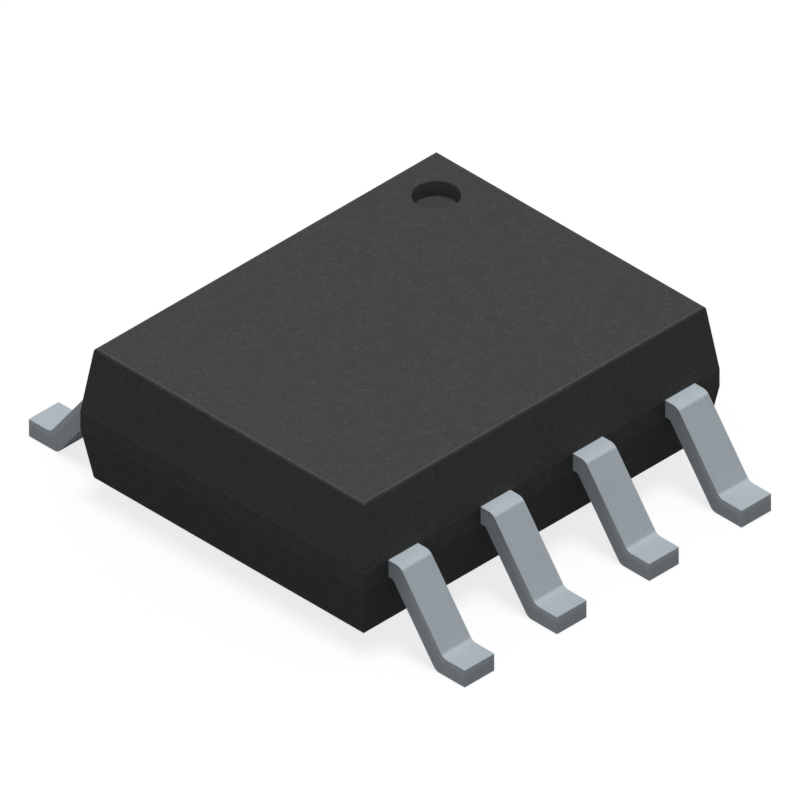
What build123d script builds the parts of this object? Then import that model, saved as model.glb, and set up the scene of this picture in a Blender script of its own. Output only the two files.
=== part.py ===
# An operational amplifier in an eight-lead small-outline surface-mount package.
# A black epoxy moulding is cast round gull-wing leads, gold bond wires and a silicon die on its paddle.
# The frame stands on the board: Z is up, Y runs along the two rows of leads, and lead 1 is at -X, +Y.
# All sizes are in millimetres.

import os
from math import hypot, radians, tan

from build123d import *

os.makedirs("parts", exist_ok=True)

# Lead rows
leads_per_side = 4
lead_pitch = 1.27
lead_width = 0.41
lead_thickness = 0.205

# Lead shape seen from the end, from the moulding out to the toe
shoulder_length = 0.1648
lead_slope = 53.4
foot_length = 0.297
shoulder_outer_radius = 0.11
shoulder_inner_radius = 0.02
heel_outer_radius = 0.10
heel_inner_radius = 0.10

# Moulding
standoff = 0.175
lower_depth = 0.617
upper_depth = 0.753
body_width = 3.90
body_end_margin = 0.34
upper_draft = 7.38
lower_draft = 8.98
face_edge_radius = 0.05

# Round recess that marks lead 1, and the ejector pins' marks on the underside
dimple_diameter = 0.4875
dimple_depth = 0.173
dimple_inset = 0.637
ejector_mark_diameter = 0.80
ejector_mark_depth = 0.02
ejector_mark_inset = 1.10

# Bond fingers, which are the leads' ends inside the moulding
finger_cover = 0.35
finger_depth = 0.35
finger_gap = 0.20
finger_corner_radius = 0.06
corner_finger_width = 0.61
corner_finger_reach = 1.00
anchor_hole_diameter = 0.22
anchor_hole_inset = 0.22

# Die paddle and the tie bars that carried it in the lead frame
downset = 0.20
downset_slope = 45.0
downset_start = 0.10
downset_bend_radius = 0.05
tie_bar_width = 0.30
tie_bar_cover = 0.10
paddle_corner_radius = 0.10

# Silicon die and the adhesive under it
die_width = 1.20
die_length = 1.50
die_thickness = 0.28
attach_thickness = 0.025
attach_margin = 0.05
attach_corner_radius = 0.08

# Gold bond wires, each with a ball on the die and a stitch on its finger
wire_diameter = 0.025
ball_diameter = 0.080
ball_height = 0.020
pad_inset = 0.09
loop_height = 0.15
loop_crest_share = 0.30
loop_neck_radius = 0.05
loop_crest_radius = 0.20
stitch_length = 0.07
stitch_width = 0.070
stitch_thickness = 0.008
stitch_press = 0.4
stitch_bend_radius = 0.06

# Flats that stand for the round outlines of the wires, balls and stitches, which are too fine for more
wire_flats = 8

# Heights that follow from the sizes above
lead_bottom = standoff + lower_depth
lead_top = lead_bottom + lead_thickness
body_top = lead_top + upper_depth
paddle_top = lead_top - downset
paddle_bottom = paddle_top - lead_thickness
die_bottom = paddle_top + attach_thickness
die_top = die_bottom + die_thickness

# Places across the package that follow from the sizes above
body_side = body_width / 2
row_length = (leads_per_side - 1) * lead_pitch
body_length = row_length + lead_width + 2 * body_end_margin
shoulder_x = body_side + shoulder_length
heel_x = shoulder_x + (lead_top - lead_thickness) / tan(radians(lead_slope))
toe_x = heel_x + foot_length
underside_shift = lead_thickness * tan(radians(lead_slope / 2))
finger_shoulder_x = body_side - finger_cover
finger_tip_x = finger_shoulder_x - finger_depth
corner_tip_x = finger_shoulder_x - corner_finger_reach
corner_outer_y = (row_length + lead_width) / 2
corner_inner_y = corner_outer_y - corner_finger_width
corner_finger_y = (corner_inner_y + corner_outer_y) / 2
paddle_width = 2 * (finger_tip_x - finger_gap)
paddle_length = 2 * (corner_inner_y - finger_gap)
finger_pitch = (paddle_length + finger_gap) / (leads_per_side - 2)
inner_finger_width = finger_pitch - finger_gap
tie_bar_end = body_length / 2 - tie_bar_cover


def round_bends(outline, bends):
    """Round the named corners of the sketch that is being drawn, each with a radius of its own."""
    for corner, radius in bends:
        fillet(outline.vertices().sort_by_distance(corner)[0], radius)


def lead_side_profile():
    """Closed outline of a lead of the +X row in the XZ plane, from the package's centre to the toe."""
    with BuildSketch(Plane.XZ) as profile:
        with BuildLine():
            Polyline(
                (0, lead_top),
                (shoulder_x, lead_top),
                (heel_x, lead_thickness),
                (toe_x, lead_thickness),
                (toe_x, 0),
                (heel_x - underside_shift, 0),
                (shoulder_x - underside_shift, lead_bottom),
                (0, lead_bottom),
                close=True,
            )
        make_face()
        bends = [
            ((shoulder_x, lead_top), shoulder_outer_radius),
            ((heel_x, lead_thickness), heel_inner_radius),
            ((heel_x - underside_shift, 0), heel_outer_radius),
            ((shoulder_x - underside_shift, lead_bottom), shoulder_inner_radius),
        ]
        round_bends(profile, bends)
    return profile.sketch


def inner_finger_plan(lead_y, finger_y):
    """Plan of a lead between the corner ones: a straight shank with a crosswise bond finger."""
    with BuildSketch() as plan:
        with Locations((finger_tip_x, finger_y)):
            Rectangle(finger_depth, inner_finger_width, align=(Align.MIN, Align.CENTER))
        fillet(plan.vertices(), finger_corner_radius)
        with Locations((finger_tip_x + finger_depth / 2, lead_y)):
            Rectangle(toe_x, lead_width, align=(Align.MIN, Align.CENTER))
    return plan.sketch


def corner_finger_plan(lead_y):
    """Plan of a corner lead: its finger reaches in past the paddle's end and has an anchor hole."""
    side = 1 if lead_y > 0 else -1
    with BuildSketch() as plan:
        with Locations((corner_tip_x, side * corner_finger_y)):
            Rectangle(corner_finger_reach, corner_finger_width, align=(Align.MIN, Align.CENTER))
        fillet(plan.vertices(), finger_corner_radius)
        with Locations((finger_shoulder_x - finger_depth / 2, lead_y)):
            Rectangle(toe_x, lead_width, align=(Align.MIN, Align.CENTER))
        with Locations((finger_shoulder_x - anchor_hole_inset, side * corner_finger_y)):
            Circle(anchor_hole_diameter / 2, mode=Mode.SUBTRACT)
    return plan.sketch


def build_lead(place_in_row):
    """A lead of the +X row, bent from flat strip: its side profile, kept where its plan lies."""
    lead_y = lead_pitch * place_in_row - row_length / 2
    finger_y = finger_pitch * (place_in_row - (leads_per_side - 1) / 2)
    at_corner = place_in_row in (0, leads_per_side - 1)
    plan = corner_finger_plan(lead_y) if at_corner else inner_finger_plan(lead_y, finger_y)
    profile = lead_side_profile()
    with BuildPart() as lead:
        extrude(profile, amount=body_length, both=True)
        extrude(plan, amount=body_top, mode=Mode.INTERSECT)
    return lead.part


def build_bond_wire(start, end):
    """A gold wire from the squashed ball on its pad over the die's edge to its pressed stitch."""
    span = hypot(end.X - start.X, end.Y - start.Y)
    heading = Vector(end.X - start.X, end.Y - start.Y, 0).normalized()
    stitch_z = lead_top + wire_diameter / 2 * (1 - stitch_press)
    stations = [
        (0, die_top + ball_height / 2),
        (0, die_top + loop_height),
        (span * loop_crest_share, die_top + loop_height),
        (span - stitch_length, stitch_z),
        (span, stitch_z),
    ]
    points = [Vector(start.X, start.Y, z) + heading * along for along, z in stations]
    with BuildPart() as wire:
        with BuildLine():
            FilletPolyline(*points, radius=[loop_neck_radius, loop_crest_radius, stitch_bend_radius])
        with BuildSketch(Plane(origin=points[0], x_dir=heading, z_dir=(0, 0, 1))):
            RegularPolygon(wire_diameter / 2, wire_flats, rotation=180 / wire_flats)
        sweep()
        with BuildSketch(Plane.XY.offset(die_top)):
            with Locations((start.X, start.Y)):
                RegularPolygon(ball_diameter / 2, wire_flats)
        extrude(amount=ball_height)
        with BuildSketch(Plane.XY.offset(lead_top)):
            with Locations((end.X, end.Y)):
                RegularPolygon(stitch_width / 2, wire_flats)
        extrude(amount=stitch_thickness)
        split(bisect_by=Plane.XY.offset(lead_top), keep=Keep.TOP)
    return wire.part


# The eight leads, counted anticlockwise from lead 1 as seen from above
leads = {}
for place in range(leads_per_side):
    right_lead = build_lead(place)
    left_lead = right_lead.rotate(Axis.Z, 180)
    leads[leads_per_side + 1 + place] = right_lead
    leads[1 + place] = left_lead

# Die paddle with a tie bar at each end, which climbs from the paddle's level to the leads' level
climb = downset / tan(radians(downset_slope))
climb_shift = lead_thickness * tan(radians(downset_slope / 2))
climb_start = paddle_length / 2 + downset_start
climb_end = climb_start + climb
downset_outer_radius = downset_bend_radius + lead_thickness
with BuildPart() as die_paddle:
    with BuildSketch(Plane.YZ) as paddle_profile:
        with BuildLine():
            half_profile = Polyline(
                (0, paddle_top),
                (climb_start, paddle_top),
                (climb_end, lead_top),
                (tie_bar_end, lead_top),
                (tie_bar_end, lead_bottom),
                (climb_end + climb_shift, lead_bottom),
                (climb_start + climb_shift, paddle_bottom),
                (0, paddle_bottom),
            )
            mirror(half_profile, about=Plane.YZ)
        make_face()
        for side in (1, -1):
            bends = [
                ((side * climb_start, paddle_top), downset_bend_radius),
                ((side * climb_end, lead_top), downset_outer_radius),
                ((side * (climb_end + climb_shift), lead_bottom), downset_bend_radius),
                ((side * (climb_start + climb_shift), paddle_bottom), downset_outer_radius),
            ]
            round_bends(paddle_profile, bends)
    extrude(amount=body_width, both=True)
    with BuildSketch() as paddle_plan:
        Rectangle(paddle_width, paddle_length)
        fillet(paddle_plan.vertices(), paddle_corner_radius)
        Rectangle(tie_bar_width, body_length)
    extrude(amount=body_top, mode=Mode.INTERSECT)

# Adhesive layer between paddle and die
with BuildPart() as die_attach:
    with BuildSketch(Plane.XY.offset(paddle_top)) as attach_plan:
        Rectangle(die_width + 2 * attach_margin, die_length + 2 * attach_margin)
        fillet(attach_plan.vertices(), attach_corner_radius)
    extrude(amount=attach_thickness)

# Silicon die
with BuildPart() as silicon_die:
    with BuildSketch(Plane.XY.offset(die_bottom)):
        Rectangle(die_width, die_length)
    extrude(amount=die_thickness)

# One bond wire for each lead, from a row of pads along the die's long edge
bond_wires = {}
pad_x = die_width / 2 - pad_inset
pad_pitch = (die_length - 2 * pad_inset) / (leads_per_side - 1)
for place in range(leads_per_side):
    rank = place - (leads_per_side - 1) / 2
    pad = Vector(pad_x, pad_pitch * rank, die_top)
    if place in (0, leads_per_side - 1):
        side = 1 if rank > 0 else -1
        landing = Vector((corner_tip_x + finger_tip_x) / 2, side * corner_finger_y, lead_top)
    else:
        landing = Vector(finger_tip_x + finger_depth / 2, finger_pitch * rank, lead_top)
    right_wire = build_bond_wire(pad, landing)
    left_wire = right_wire.rotate(Axis.Z, 180)
    bond_wires[leads_per_side + 1 + place] = right_wire
    bond_wires[1 + place] = left_wire

# Epoxy moulding, drafted away from the parting band on both sides and filled round everything inside it
with BuildPart() as moulded_body:
    with BuildSketch(Plane.XY.offset(lead_bottom)):
        Rectangle(body_width, body_length)
    extrude(amount=lead_thickness)
    extrude(moulded_body.faces().sort_by(Axis.Z)[-1], amount=upper_depth, taper=upper_draft)
    extrude(moulded_body.faces().sort_by(Axis.Z)[0], amount=lower_depth, taper=lower_draft)
    top_face = moulded_body.faces().sort_by(Axis.Z)[-1]
    underside = moulded_body.faces().sort_by(Axis.Z)[0]
    fillet(top_face.edges() + underside.edges(), face_edge_radius)
    with BuildSketch(Plane.XY.offset(body_top)):
        with Locations((dimple_inset - body_side, body_length / 2 - dimple_inset)):
            Circle(dimple_diameter / 2)
    extrude(amount=-dimple_depth, mode=Mode.SUBTRACT)
    with BuildSketch(Plane.XY.offset(standoff)):
        ejector_y = body_length / 2 - ejector_mark_inset
        with Locations((0, ejector_y), (0, -ejector_y)):
            Circle(ejector_mark_diameter / 2)
    extrude(amount=ejector_mark_depth, mode=Mode.SUBTRACT)
    for embedded in [*leads.values(), *bond_wires.values()]:
        add(embedded, mode=Mode.SUBTRACT)
    for embedded in [die_paddle, die_attach, silicon_die]:
        add(embedded.part, mode=Mode.SUBTRACT)

# Every piece is written under its own name
pieces = {
    "moulded_body": moulded_body.part,
    "die_paddle": die_paddle.part,
    "die_attach": die_attach.part,
    "silicon_die": silicon_die.part,
}
for number, lead in leads.items():
    pieces[f"lead_{number}"] = lead
for number, wire in bond_wires.items():
    pieces[f"bond_wire_{number}"] = wire
for name, piece in pieces.items():
    piece.label = name
    export_step(piece, f"parts/{name}.step")
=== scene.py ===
# Finish and light for a small moulded operational amplifier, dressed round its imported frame
from math import cos, pi, radians, sin, tan

import bmesh
import bpy
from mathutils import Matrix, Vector


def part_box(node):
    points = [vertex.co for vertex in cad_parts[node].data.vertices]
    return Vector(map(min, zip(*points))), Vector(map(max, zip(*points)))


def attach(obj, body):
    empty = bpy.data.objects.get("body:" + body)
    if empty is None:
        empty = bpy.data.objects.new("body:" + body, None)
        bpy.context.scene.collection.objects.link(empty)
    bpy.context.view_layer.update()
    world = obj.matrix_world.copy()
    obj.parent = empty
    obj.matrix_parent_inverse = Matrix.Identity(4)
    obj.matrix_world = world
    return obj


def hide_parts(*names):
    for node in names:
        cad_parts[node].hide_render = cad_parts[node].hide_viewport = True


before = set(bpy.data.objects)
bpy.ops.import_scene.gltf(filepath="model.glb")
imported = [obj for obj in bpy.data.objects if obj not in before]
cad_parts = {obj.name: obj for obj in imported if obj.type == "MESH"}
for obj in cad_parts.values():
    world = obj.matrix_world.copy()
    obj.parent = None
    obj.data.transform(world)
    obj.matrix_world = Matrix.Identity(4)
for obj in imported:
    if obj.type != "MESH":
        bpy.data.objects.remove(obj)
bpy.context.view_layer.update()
millimetre = 0.001
print("frame loaded")


class Signal:
    # A node's output, on which arithmetic adds Math nodes
    def __init__(self, finish, socket):
        self.finish, self.socket = finish, socket

    def maths(self, operation, *values):
        return self.finish.node("Math", {"operation": operation}, dict(enumerate(values)))

    def __add__(self, other):
        return self.maths("ADD", self, other)

    def __radd__(self, other):
        return self.maths("ADD", other, self)

    def __sub__(self, other):
        return self.maths("SUBTRACT", self, other)

    def __rsub__(self, other):
        return self.maths("SUBTRACT", other, self)

    def __mul__(self, other):
        return self.maths("MULTIPLY", self, other)

    def __rmul__(self, other):
        return self.maths("MULTIPLY", other, self)

    def __truediv__(self, other):
        return self.maths("DIVIDE", self, other)

    def __pow__(self, other):
        return self.maths("POWER", self, other)

    def __gt__(self, other):
        return self.maths("GREATER_THAN", self, other)

    def __lt__(self, other):
        return self.maths("LESS_THAN", self, other)

    def __abs__(self):
        return self.maths("ABSOLUTE", self)

    def least(self, other):
        return self.maths("MINIMUM", self, other)

    def most(self, other):
        return self.maths("MAXIMUM", self, other)

    def arccos(self):
        return self.maths("ARCCOSINE", self)

    def swing(self, size):  # noise from 0 to 1 becomes a change of up to half of size either way
        return (self - 0.5) * size


class Finish:
    # One material, or the world, and the nodes that it is written with
    def __init__(self, owner):
        owner.use_nodes = True
        self.owner, self.tree = owner, owner.node_tree
        self.tree.nodes.clear()

    def node(self, kind, settings=None, values=None, result=0):
        made = self.tree.nodes.new("ShaderNode" + kind)
        for name, value in (settings or {}).items():
            setattr(made, name, value)
        for name, value in (values or {}).items():
            if isinstance(value, Signal):
                self.tree.links.new(value.socket, made.inputs[name])
            else:
                made.inputs[name].default_value = value
        return Signal(self, made.outputs[result]) if len(made.outputs) else made

    def place(self):  # where a point lies on the part, in millimetres
        metres = self.node("TexCoord", result="Object")
        return self.node("VectorMath", {"operation": "SCALE"}, {0: metres, "Scale": 1 / millimetre})

    def facing(self):  # which way the surface faces, along X, Y and Z
        return self.axes(self.node("NewGeometry", result="Normal"))

    def axes(self, vector):
        return [self.node("SeparateXYZ", None, {0: vector}, axis) for axis in "XYZ"]

    def stretched(self, vector, x, y, z):
        return self.node("VectorMath", {"operation": "MULTIPLY"}, {0: vector, 1: (x, y, z)})

    def noise(self, place, size, detail=3.0, roughness=0.6):
        values = {"Vector": place, "Scale": 1 / size, "Detail": detail, "Roughness": roughness}
        return self.node("TexNoise", None, values)

    def cells(self, place, size, distance="EUCLIDEAN", result="Distance"):
        return self.node("TexVoronoi", {"distance": distance}, {"Vector": place, "Scale": 1 / size}, result)

    def distance(self, x, y):
        return (x ** 2 + y ** 2) ** 0.5

    def between(self, value, low, high):
        return (value > low) * (value < high)

    def rise(self, value, low, high):  # 0 below low, 1 above high, smooth between
        settings = {"interpolation_type": "SMOOTHSTEP"}
        return self.node("MapRange", settings, {"Value": value, "From Min": low, "From Max": high})

    def hill(self, value, up, down):  # rises over the first pair of values and falls over the second
        return self.rise(value, *up) * (1 - self.rise(value, *down))

    def zoned(self, value, zones, changes):  # each zone changes the value by its own amount
        for zone, change in changes.items():
            value = value + zones[zone] * change
        return value

    def mixed(self, kind, share, *colours):
        first, second = [c if isinstance(c, Signal) else (*c, 1) for c in colours]
        settings = {"data_type": "RGBA", "blend_type": kind}
        return self.node("Mix", settings, {0: share, 6: first, 7: second}, 2)

    def blend(self, first, second, share):
        return self.mixed("MIX", share, first, second)

    def shaded(self, colour, level):  # a colour made lighter or darker by a number near 1
        grey = self.node("CombineColor", None, {0: level, 1: level, 2: level})
        return self.mixed("MULTIPLY", 1.0, colour, grey)

    def bump(self, height, depth):  # depth in millimetres for a height of 1
        values = {"Height": height, "Distance": depth * millimetre, "Strength": 1.0}
        return self.node("Bump", None, values)

    def surface(self, values):
        shader = self.node("BsdfPrincipled", None, values)
        self.node("OutputMaterial", None, {"Surface": shader})


def newFinish(name):
    return Finish(bpy.data.materials.new(name))


def giveFinish(piece, finish):
    piece.data.materials.clear()
    piece.data.materials.append(finish.owner)


def boxOf(node):  # lowest and highest corner, in millimetres
    return [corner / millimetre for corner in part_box(node)]


# Sizes are in millimetres, and a shade is the share by which a zone is lighter or darker
# Black epoxy moulding: resin full of round silica grains, with the grain of the spark-eroded mould
moulding = {
    "resin": (0.0535, 0.0535, 0.0535),
    "silica": (0.13, 0.13, 0.129),
    "silicaSize": 0.034,
    "silicaEdge": (0.16, 0.44),
    "silicaPatches": (0.40, 0.62),
    "silicaShare": 0.30,
    "grainSize": 0.030,
    "grainRange": 0.55,
    "grainDepth": 0.0022,
    "coarseSize": 0.10,
    "coarseRange": 0.10,
    "coarseRelief": 0.8,
    "cloudSize": 1.1,
    "cloudRange": 0.08,
    "roughness": 0.56,
    "roughnessRange": 0.12,
    "specular": 0.035,
    "topFillet": 0.05,
    "highlightUp": (0.03, 0.12),  # how far the surface has turned from facing up, as 1 less the cosine
    "highlightDown": (0.16, 0.46),
    "lowerDepth": 0.617,
    "undersideFacing": -0.5,
    "bandDepth": 0.205,
    "raggedSize": 0.06,
    "flashWidth": 0.007,
    "flashLeast": 0.3,
    "flashRange": 1.4,
    "flashRelief": 0.5,
    "recessInset": 0.637,
    "recessDiameter": 0.4875,
    "recessDepth": 0.173,
    "markInset": 1.10,
    "markDiameter": 0.80,
    "markDepth": 0.02,
    "polishedRoughness": 0.46,
    "polishedGrain": 0.3,
    "gateX": -0.55,
    "gateWidth": 0.62,
    "gateRagged": 0.12,
    "gateRoughness": 0.15,
    "gateRelief": 2,
    "touch": 0.003,
    "shades": {
        # painted highlight along the top edges, where the fillet turns towards the lamp
        "paintedEdgeHighlight": 0.58,
        # painted light that lifts the shade in the recess, on its floor and on its wall
        "recessFloor": 0.20,
        "recessWall": 0.80,
        # painted shade on the lower half, whose sides face down, away from the light
        "lowerHalfPaintedShade": -0.41,
        # painted shade on the band between the halves
        "band": -0.06,
        "flash": 0.16,
        "gateScar": 0.22,
    },
}


def recessZones(finish, x, y, z):  # floor and wall of the recess that marks lead 1
    low, high = boxOf("moulded_body")
    inset, touch = moulding["recessInset"], moulding["touch"]
    floorZ = high.z - moulding["recessDepth"]
    fromCentre = finish.distance(x - (low.x + inset), y - (high.y - inset))
    inRecess = fromCentre < moulding["recessDiameter"] / 2 + touch
    inRecess = inRecess * finish.between(z, floorZ - touch, high.z - touch)
    floor = inRecess * (z < floorZ + touch)
    return floor, inRecess - floor


def markZone(finish, x, y, z):  # floors of the two ejector marks on the underside
    low, high = boxOf("moulded_body")
    touch = moulding["touch"]
    floorZ = low.z + moulding["markDepth"]
    fromCentre = finish.distance(x, abs(y) - (high.y - moulding["markInset"]))
    inMark = fromCentre < moulding["markDiameter"] / 2 + touch
    return inMark * finish.between(z, floorZ - touch, floorZ + touch)


def makeMoulding():
    low, high = boxOf("moulded_body")
    finish = newFinish("epoxy moulding compound")
    place = finish.place()
    x, y, z = finish.axes(place)
    facingUp = finish.facing()[2]

    # Zones: recess, ejector marks, lower half, band between the halves and its flash, gate scar, painted edge
    # highlight
    recessFloor, recessWall = recessZones(finish, x, y, z)
    polished = recessFloor + markZone(finish, x, y, z)
    bandLow = low.z + moulding["lowerDepth"]
    bandHigh = bandLow + moulding["bandDepth"]
    band = finish.between(z, bandLow, bandHigh)
    fromLine = abs(abs(z - (bandLow + bandHigh) / 2) - moulding["bandDepth"] / 2)
    ragged = finish.noise(place, moulding["raggedSize"])
    flashWidth = moulding["flashWidth"] * (moulding["flashLeast"] + ragged * moulding["flashRange"])
    fromGate = abs(x - moulding["gateX"]) + ragged.swing(moulding["gateRagged"])
    # a painted highlight on the top fillet, lighter where a lamp would catch the turning edge
    edgeHighlight = finish.hill(1 - facingUp, moulding["highlightUp"], moulding["highlightDown"])
    zones = {
        "paintedEdgeHighlight": edgeHighlight * (z > high.z - moulding["topFillet"] - moulding["touch"]),
        "recessFloor": recessFloor,
        "recessWall": recessWall,
        "lowerHalfPaintedShade": (z < bandLow) * (facingUp > moulding["undersideFacing"]),
        "band": band,
        "flash": finish.rise(flashWidth - fromLine, 0, moulding["flashWidth"]),
        "gateScar": (fromGate < moulding["gateWidth"] / 2) * band * (y > high.y - moulding["touch"]),
    }

    # Silica grains in the resin, clouded, with less grain where the mould was polished
    grain = finish.noise(place, moulding["grainSize"])
    coarse = finish.noise(place, moulding["coarseSize"], 2.0, 0.5)
    cloud = finish.noise(place, moulding["cloudSize"], 3.0, 0.55)
    silica = 1 - finish.rise(finish.cells(place, moulding["silicaSize"]), *moulding["silicaEdge"])
    silica = silica * finish.rise(coarse, *moulding["silicaPatches"])
    colour = finish.blend(moulding["resin"], moulding["silica"], silica * moulding["silicaShare"])
    eroded = 1 - polished * (1 - moulding["polishedGrain"])
    level = 1 + cloud.swing(moulding["cloudRange"]) + coarse.swing(moulding["coarseRange"])
    level = level + grain.swing(moulding["grainRange"]) * eroded

    roughness = moulding["roughness"] + grain.swing(moulding["roughnessRange"])
    roughness = roughness + zones["gateScar"] * moulding["gateRoughness"]
    roughness = roughness * (1 - polished) + polished * moulding["polishedRoughness"]
    height = (grain + coarse * moulding["coarseRelief"]) * eroded
    height = height + zones["gateScar"] * ragged * moulding["gateRelief"]
    height = height + zones["flash"] * moulding["flashRelief"]
    finish.surface({
        "Base Color": finish.shaded(colour, finish.zoned(level, zones, moulding["shades"])),
        "Roughness": roughness,
        "Specular IOR Level": moulding["specular"],
        "Normal": finish.bump(height, moulding["grainDepth"]),
    })
    giveFinish(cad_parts["moulded_body"], finish)


makeMoulding()
print("moulding finished")


# Gull-wing leads, stamped from copper alloy strip and bent. Matt tin covers what stands out of the moulding,
# and inside it the bond fingers have a spot of silver on top
leads = {
    "count": 8,
    "thickness": 0.205,
    "slope": 53.4,
    "footLength": 0.297,
    "tin": (0.417, 0.468, 0.504),
    # cut faces are darker sheared metal, and partly painted shade where they turn sideways from the lamp
    "shearedTinAndSideShade": (0.373, 0.419, 0.453),
    "metallic": 0.13,
    "metallicLostInTears": 0.5,
    "roughness": 0.60,
    "roughnessRange": 0.10,
    "specular": 0.20,
    "platingGap": 0.01,
    "alloy": (0.76, 0.42, 0.27),
    "silver": (0.82, 0.81, 0.78),
    "silverReach": 1.42,
    "silverRagged": 0.1,
    "silverEdge": 0.02,
    "silverFacing": 0.5,
    "innerMetallic": 0.95,
    "innerRoughness": 0.36,
    "lineSize": 0.018,
    "lineStretch": 0.05,
    "lineRange": 0.17,
    "lineRelief": 0.4,
    "broadLineSize": 0.072,
    "broadLineShare": 0.4,
    "crystalSize": 0.026,
    "crystalRange": 0.16,
    "crystalRelief": 0.6,
    "crystalDepth": 0.0010,
    "patchSize": 0.30,
    "patchRange": 0.06,
    "shearSize": 0.016,
    "shearStretch": 0.03,
    "shearRange": 0.22,
    "shearRelief": 0.4,
    "tornRelief": 0.8,
    "burnishEnd": (0.23, 0.33),  # as shares of the thickness
    "burnishRagged": 0.5,
    "sideFacing": (0.75, 0.92),
    "toeFacing": (0.93, 0.98),
    "belowFacing": (0.30, 0.50),
    "shoulderTilt": (0, 36),  # tilts are in degrees from level
    "bendUp": (21, 30.5),
    "bendDown": (41.5, 50),
    "crestUp": (24, 31),
    "crestDown": (38, 44),
    "slopeTilt": (45.5, 51.5),
    "shades": {
        "shoulderPaintedLight": 0.14,  # painted light where the moulding shades the shoulder
        "bendHighlight": 0.115,  # painted highlight on the bends
        # painted highlight on the upper bend
        "crestHighlight": 0.05,
        "slope": -0.10,  # painted shade on the slope, which turns away from the lamp
        # painted shade under the strip
        "below": -0.10,
        # painted light on the sides of the strip
        "side": 0.12,
        "shelteredPaintedLight": 0.17,  # painted light on sides that face the next lead, which shades them
        # the burnished band is real, and its darker colour is painted shade against its sheen
        "burnished": -0.10,
        "torn": -0.02,
    },
    "roughnessChanges": {
        "torn": 0.10,
        "burnished": -0.08,
        "below": 0.35,
    },
    "edgeRoll": 0.005,
    "edgeRollSegments": 2,
    "weld": 0.0001,
    "flatAngle": 0.5,
    "stampedAngle": 60,
}


def platingStart():  # how far from the middle the plating and the rolled edges start, in millimetres
    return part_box("moulded_body")[1].x / millimetre - leads["platingGap"]


def followStrip(out, z):  # depth under the strip's upper face as a share of its thickness, and the way along
    high = boxOf("lead_5")[1]
    slope, thickness = radians(leads["slope"]), leads["thickness"]
    shoulderX = high.x - leads["footLength"] - (high.z - thickness) / tan(slope)
    underShoulder = high.z - z
    underSlope = (shoulderX - out) * sin(slope) + underShoulder * cos(slope)
    underFoot = thickness - z
    depth = underShoulder.least(underSlope.most(underFoot)) / thickness
    onSlope = (underSlope < underShoulder) * (underFoot < underSlope)
    return depth, out + onSlope * (out * cos(slope) - z * sin(slope) - out)


def makeTin():
    thickness = leads["thickness"]
    finish = newFinish("matt tin plate")
    place = finish.place()
    x, y, z = finish.axes(place)
    normalX, normalY, normalZ = finish.facing()
    out = abs(x)
    inside = out < platingStart()

    # Stamped sides and sheared toes: a burnished upper part, then torn metal, with marks across the thickness
    depth, along = followStrip(out, z)
    side = finish.rise(abs(normalY), *leads["sideFacing"])
    toe = finish.rise(abs(normalX), *leads["toeFacing"])
    cut = side.most(toe)
    rolled = 1 - cut
    across = finish.node("CombineXYZ", None, {"X": along, "Y": y, "Z": depth * leads["shearStretch"]})
    struck = finish.noise(across, leads["shearSize"])
    torn = finish.rise(depth + struck.swing(leads["burnishRagged"]), *leads["burnishEnd"])

    # Rolling lines along the strip, tin crystals, slow patches
    lengthways = finish.stretched(place, leads["lineStretch"], 1.0, leads["lineStretch"])
    lines = finish.noise(lengthways, leads["lineSize"]) * (1 - leads["broadLineShare"])
    lines = lines + finish.noise(lengthways, leads["broadLineSize"], 2.0, 0.5) * leads["broadLineShare"]
    crystals = finish.noise(place, leads["crystalSize"])
    patches = finish.noise(place, leads["patchSize"], 3.0, 0.5)

    # The skin of each part of the wing, with painted light and shade on the shoulder, bends, slope,
    # undersides and sides
    tilt = abs(normalZ).arccos() / radians(1)
    upper = (z > boxOf("lead_5")[1].z - thickness / 2) * (1 - inside)
    zones = {
        "shoulderPaintedLight": (1 - finish.rise(tilt, *leads["shoulderTilt"])) * upper,
        "bendHighlight": finish.hill(tilt, leads["bendUp"], leads["bendDown"]) * rolled,
        "crestHighlight": finish.hill(tilt, leads["crestUp"], leads["crestDown"]) * upper * rolled,
        "slope": finish.rise(tilt, *leads["slopeTilt"]) * rolled,
        "below": finish.rise(0 - normalZ, *leads["belowFacing"]),
        "side": side * (1 - toe),
        "shelteredPaintedLight": side * (abs(y) < boxOf("lead_8")[1].y - thickness),
        "burnished": cut * (1 - torn),
        "torn": cut * torn,
    }
    level = 1 + lines.swing(leads["lineRange"]) * rolled + struck.swing(leads["shearRange"]) * cut
    level = level + crystals.swing(leads["crystalRange"]) + patches.swing(leads["patchRange"])
    level = finish.zoned(level, zones, leads["shades"])
    roughness = leads["roughness"] + patches.swing(leads["roughnessRange"])
    roughness = roughness + crystals.swing(leads["roughnessRange"])
    roughness = finish.zoned(roughness, zones, leads["roughnessChanges"])
    metallic = leads["metallic"] * (1 - zones["torn"] * leads["metallicLostInTears"])
    height = crystals * leads["crystalRelief"] + lines * leads["lineRelief"] * rolled
    height = height + struck * (cut * leads["shearRelief"] + zones["torn"] * leads["tornRelief"])

    # Bare alloy inside the moulding, silvered where the wires are bonded
    silverEnd = leads["silverReach"] + patches.swing(leads["silverRagged"])
    silvered = finish.rise(silverEnd - out, 0, leads["silverEdge"]) * (normalZ > leads["silverFacing"])
    # cut faces take the darker sheared tin, partly painted shade on faces that turn sideways
    tinned = finish.blend(leads["tin"], leads["shearedTinAndSideShade"], cut)
    colour = finish.blend(tinned, finish.blend(leads["alloy"], leads["silver"], silvered), inside)
    finish.surface({
        "Base Color": finish.shaded(colour, level),
        "Metallic": metallic + inside * (leads["innerMetallic"] - metallic),
        "Roughness": roughness + inside * (leads["innerRoughness"] - roughness),
        "Specular IOR Level": leads["specular"],
        "Normal": finish.bump(height, leads["crystalDepth"]),
    })
    return finish


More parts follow.
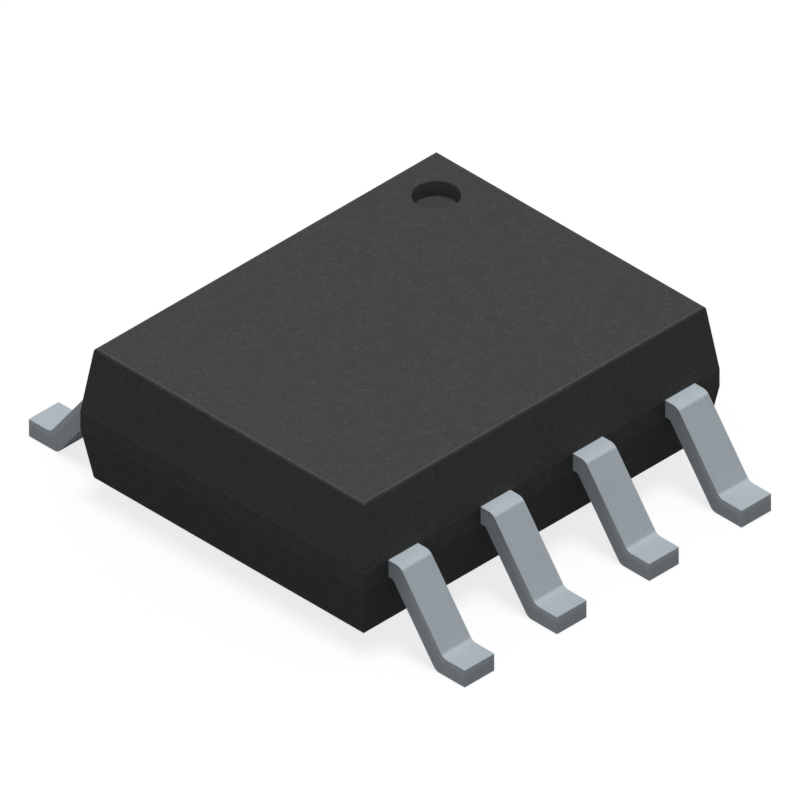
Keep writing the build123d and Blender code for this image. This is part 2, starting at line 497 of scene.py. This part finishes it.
def leadMesh(number):  # the strip in large flat faces, with the edges marked that are to be rolled
    form = bmesh.new()
    form.from_mesh(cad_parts[f"lead_{number}"].data)
    weld = leads["weld"] * millimetre
    turn = radians(leads["flatAngle"])
    start = platingStart() * millimetre
    bmesh.ops.remove_doubles(form, verts=form.verts, dist=weld)
    bmesh.ops.dissolve_limit(form, angle_limit=turn, verts=form.verts, edges=form.edges)
    for side in (-1, 1):
        whole = [*form.verts, *form.edges, *form.faces]
        point = (side * start, 0, 0)
        bmesh.ops.bisect_plane(form, geom=whole, dist=weld, plane_co=point, plane_no=(1, 0, 0))
    rolled = form.edges.layers.float.new("bevel_weight_edge")
    for edge in form.edges:  # the stamped edges are rolled outside the moulding and stay sharp in it
        stamped = edge.calc_face_angle(0) > radians(leads["stampedAngle"])
        outside = min(abs(end.co.x) for end in edge.verts) > start - weld
        edge[rolled] = float(stamped and outside)
        edge.smooth = outside or not stamped
    mesh = bpy.data.meshes.new(f"gullWingLead_{number}")
    form.to_mesh(mesh)
    form.free()
    if "custom_normal" in mesh.attributes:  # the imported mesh's normals don't fit the rolled edges
        mesh.attributes.remove(mesh.attributes["custom_normal"])
    mesh.shade_smooth()
    return mesh


def dressLead(number, finish):
    mesh = leadMesh(number)
    piece = bpy.data.objects.new(mesh.name, mesh)
    bpy.context.scene.collection.objects.link(piece)
    roll = piece.modifiers.new("rolled edges", "BEVEL")
    roll.limit_method = "WEIGHT"
    roll.width = leads["edgeRoll"] * millimetre
    roll.segments = leads["edgeRollSegments"]
    roll.use_clamp_overlap = False
    roll.harden_normals = True
    giveFinish(piece, finish)
    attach(piece, "root")
    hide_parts(f"lead_{number}")


tin = makeTin()
for number in range(1, leads["count"] + 1):
    dressLead(number, tin)
print("leads finished")


# Rolled copper alloy of the paddle
copper = {
    "bright": (0.76, 0.42, 0.27),
    "tarnished": (0.56, 0.27, 0.16),
    "tarnishSize": 0.5,
    "tarnishEdge": (0.45, 0.7),
    "tarnishShare": 0.5,
    "tarnishRoughness": 0.12,
    "roughness": 0.34,
    "roughnessRange": 0.1,
    "lineSize": 0.02,
    "lineStretch": 0.05,
    "lineRange": 0.2,
    "lineDepth": 0.0008,
}


def makeCopper():
    finish = newFinish("rolled copper alloy")
    place = finish.place()
    lines = finish.noise(finish.stretched(place, 1.0, copper["lineStretch"], 1.0), copper["lineSize"])
    tarnish = finish.rise(finish.noise(place, copper["tarnishSize"], 4.0), *copper["tarnishEdge"])
    colour = finish.blend(copper["bright"], copper["tarnished"], tarnish * copper["tarnishShare"])
    roughness = copper["roughness"] + tarnish * copper["tarnishRoughness"]
    finish.surface({
        "Base Color": finish.shaded(colour, 1 + lines.swing(copper["lineRange"])),
        "Metallic": 1.0,
        "Roughness": roughness + lines.swing(copper["roughnessRange"]),
        "Normal": finish.bump(lines, copper["lineDepth"]),
    })
    giveFinish(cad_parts["die_paddle"], finish)


# Silver-filled adhesive that holds the die
adhesive = {
    "resin": (0.42, 0.43, 0.44),
    "flake": (0.78, 0.79, 0.80),
    "flakeSize": 0.018,
    "flakeEdge": (0.25, 0.5),
    "flakeShare": 0.7,
    "flakeMetallic": 0.6,
    "flakePolish": 0.15,
    "flakeRelief": 0.2,
    "waveSize": 0.12,
    "waveRelief": 0.8,
    "waveDepth": 0.003,
    "roughness": 0.5,
}


def makeAdhesive():
    finish = newFinish("silver-filled adhesive")
    place = finish.place()
    flakes = 1 - finish.rise(finish.cells(place, adhesive["flakeSize"]), *adhesive["flakeEdge"])
    waves = finish.noise(place, adhesive["waveSize"], 3.0, 0.5)
    height = waves * adhesive["waveRelief"] + flakes * adhesive["flakeRelief"]
    finish.surface({
        "Base Color": finish.blend(adhesive["resin"], adhesive["flake"], flakes * adhesive["flakeShare"]),
        "Metallic": flakes * adhesive["flakeMetallic"],
        "Roughness": adhesive["roughness"] - flakes * adhesive["flakePolish"],
        "Normal": finish.bump(height, adhesive["waveDepth"]),
    })
    giveFinish(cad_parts["die_attach"], finish)


# Polished silicon with plain squares and bands for its circuits, and sawn sides
silicon = {
    "bare": (0.20, 0.21, 0.25),
    "circuit": (0.34, 0.30, 0.42),
    "circuitDepth": 0.004,
    "circuitMetallic": 0.35,
    "blockSize": 0.16,
    "blockLeast": 0.4,
    "blockRange": 0.6,
    "track": (0.50, 0.46, 0.40),
    "trackSize": 0.03,
    "trackWidth": 0.08,
    "trackShare": 0.6,
    "trackRelief": 0.3,
    "trackDepth": 0.001,
    "roughness": 0.16,
    "sawnSize": 0.02,
    "sawnStretch": 0.1,
    "sawnRoughness": 0.15,
    "sawnRange": 0.2,
}


def makeSilicon():
    finish = newFinish("polished silicon")
    place = finish.place()
    onTop = finish.axes(place)[2] > boxOf("silicon_die")[1].z - silicon["circuitDepth"]
    flat = finish.stretched(place, 1.0, 1.0, 0.0)
    blocks = finish.axes(finish.cells(flat, silicon["blockSize"], "CHEBYCHEV", "Color"))[0]
    tracks = finish.node("TexBrick", {"offset": 0.5}, {
        "Vector": flat,
        "Color1": (1, 1, 1, 1),
        "Color2": (1, 1, 1, 1),
        "Mortar": (0, 0, 0, 1),
        "Scale": 1 / silicon["trackSize"],
        "Mortar Size": silicon["trackWidth"],
    }, "Fac")
    blockShare = silicon["blockLeast"] + blocks * silicon["blockRange"]
    colour = finish.blend(silicon["bare"], silicon["circuit"], onTop * blockShare)
    colour = finish.blend(colour, silicon["track"], tracks * onTop * silicon["trackShare"])
    stretch = silicon["sawnStretch"]
    sawn = finish.noise(finish.stretched(place, stretch, stretch, 1.0), silicon["sawnSize"])
    sawnRoughness = silicon["sawnRoughness"] + sawn * silicon["sawnRange"]
    height = tracks * onTop * silicon["trackRelief"] + sawn * (1 - onTop)
    finish.surface({
        "Base Color": colour,
        "Metallic": onTop * silicon["circuitMetallic"],
        "Roughness": silicon["roughness"] + (1 - onTop) * sawnRoughness,
        "Normal": finish.bump(height, silicon["trackDepth"]),
    })
    giveFinish(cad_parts["silicon_die"], finish)


# Drawn gold of the bond wires
gold = {
    "bright": (0.86, 0.64, 0.26),
    "deep": (0.72, 0.49, 0.16),
    "drawnSize": 0.012,
    "drawnEdge": (0.3, 0.6),
    "drawnDepth": 0.0006,
    "roughness": 0.2,
    "roughnessRange": 0.15,
}


def makeGold():
    finish = newFinish("drawn gold")
    drawn = finish.noise(finish.place(), gold["drawnSize"])
    finish.surface({
        "Base Color": finish.blend(gold["deep"], gold["bright"], finish.rise(drawn, *gold["drawnEdge"])),
        "Metallic": 1.0,
        "Roughness": gold["roughness"] + drawn.swing(gold["roughnessRange"]),
        "Normal": finish.bump(drawn, gold["drawnDepth"]),
    })
    for number in range(1, leads["count"] + 1):
        giveFinish(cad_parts[f"bond_wire_{number}"], finish)


makeCopper()
makeAdhesive()
makeSilicon()
makeGold()
print("inner pieces finished")


# Pale floor, soft light from above and an even sky
studio = {
    "floorSize": 1200,
    "floorGap": 0.001,
    "floorPale": (0.22, 0.22, 0.22),
    "floorDark": (0.08, 0.08, 0.08),
    "floorGlow": 0.80,
    "skyLight": 0.375,
    "skyWhite": 1.0,
    "lampLight": 0.61,
    "lampSoftness": 20,
}


def seenRays(finish):  # 1 for what the camera, a gloss or a clear piece shows, 0 for what only lights
    kinds = ("Camera", "Glossy", "Transmission")
    camera, gloss, clear = [finish.node("LightPath", result=f"Is {kind} Ray") for kind in kinds]
    return camera.most(gloss).most(clear)


def makeFloor():
    half = studio["floorSize"] * millimetre / 2
    form = bmesh.new()
    corners = [form.verts.new((x * half, y * half, 0)) for x, y in ((-1, -1), (1, -1), (1, 1), (-1, 1))]
    form.faces.new(corners)
    mesh = bpy.data.meshes.new("floor")
    form.to_mesh(mesh)
    form.free()
    floor = bpy.data.objects.new("floor", mesh)
    floor.location.z = -studio["floorGap"] * millimetre
    bpy.context.scene.collection.objects.link(floor)

    # Pale and glowing where it is seen, dark where it only lights, and clear from below
    finish = newFinish("pale floor")
    finish.owner.cycles.emission_sampling = "NONE"  # the glow isn't a lamp
    dark = finish.node("BsdfDiffuse", None, {"Color": (*studio["floorDark"], 1)})
    pale = finish.node("BsdfDiffuse", None, {"Color": (*studio["floorPale"], 1)})
    glow = finish.node("Emission", None, {"Strength": studio["floorGlow"]})
    bright = finish.node("AddShader", None, {0: pale, 1: glow})
    above = finish.node("MixShader", None, {0: seenRays(finish), 1: dark, 2: bright})
    fromBelow = finish.node("NewGeometry", result="Backfacing")
    clear = finish.node("BsdfTransparent")
    shown = finish.node("MixShader", None, {0: fromBelow, 1: above, 2: clear})
    finish.node("OutputMaterial", None, {"Surface": shown})
    giveFinish(floor, finish)


def makeLight():
    lamp = bpy.data.lights.new("overhead lamp", "SUN")
    lamp.energy = studio["lampLight"] * pi
    lamp.angle = radians(studio["lampSoftness"])
    holder = bpy.data.objects.new("overhead lamp", lamp)
    bpy.context.scene.collection.objects.link(holder)
    world = bpy.data.worlds.new("even sky")
    bpy.context.scene.world = world
    world.cycles.sampling_method = "NONE"  # how bright the sky is depends on the ray
    sky = Finish(world)
    level = seenRays(sky) * (studio["skyWhite"] - studio["skyLight"]) + studio["skyLight"]
    light = sky.node("Background", None, {"Strength": level, "Color": (1, 1, 1, 1)})
    sky.node("OutputWorld", None, {"Surface": light})


# Camera at the photograph's angle: the three axes are seen alike
view = {
    "azimuth": 45,
    "elevation": 35.2644,
    "width": 7.785,
    "aimHeight": 0.875,
    "distance": 60,
    "nearest": 1,
    "farthest": 2000,
}


def makeCamera():
    side, lift = radians(view["azimuth"]), radians(view["elevation"])
    back = Vector((sin(side) * cos(lift), -cos(side) * cos(lift), sin(lift)))
    lens = bpy.data.cameras.new("camera")
    lens.type = "ORTHO"
    lens.ortho_scale = view["width"] * millimetre
    lens.clip_start = view["nearest"] * millimetre
    lens.clip_end = view["farthest"] * millimetre
    camera = bpy.data.objects.new("camera", lens)
    aim = Vector((0, 0, view["aimHeight"]))
    camera.location = (aim + back * view["distance"]) * millimetre
    camera.rotation_mode = "QUATERNION"
    camera.rotation_quaternion = (-back).to_track_quat("-Z", "Y")
    bpy.context.scene.collection.objects.link(camera)
    bpy.context.scene.camera = camera


makeFloor()
makeLight()
makeCamera()
bpy.context.scene.view_settings.view_transform = "Standard"
print("studio ready")
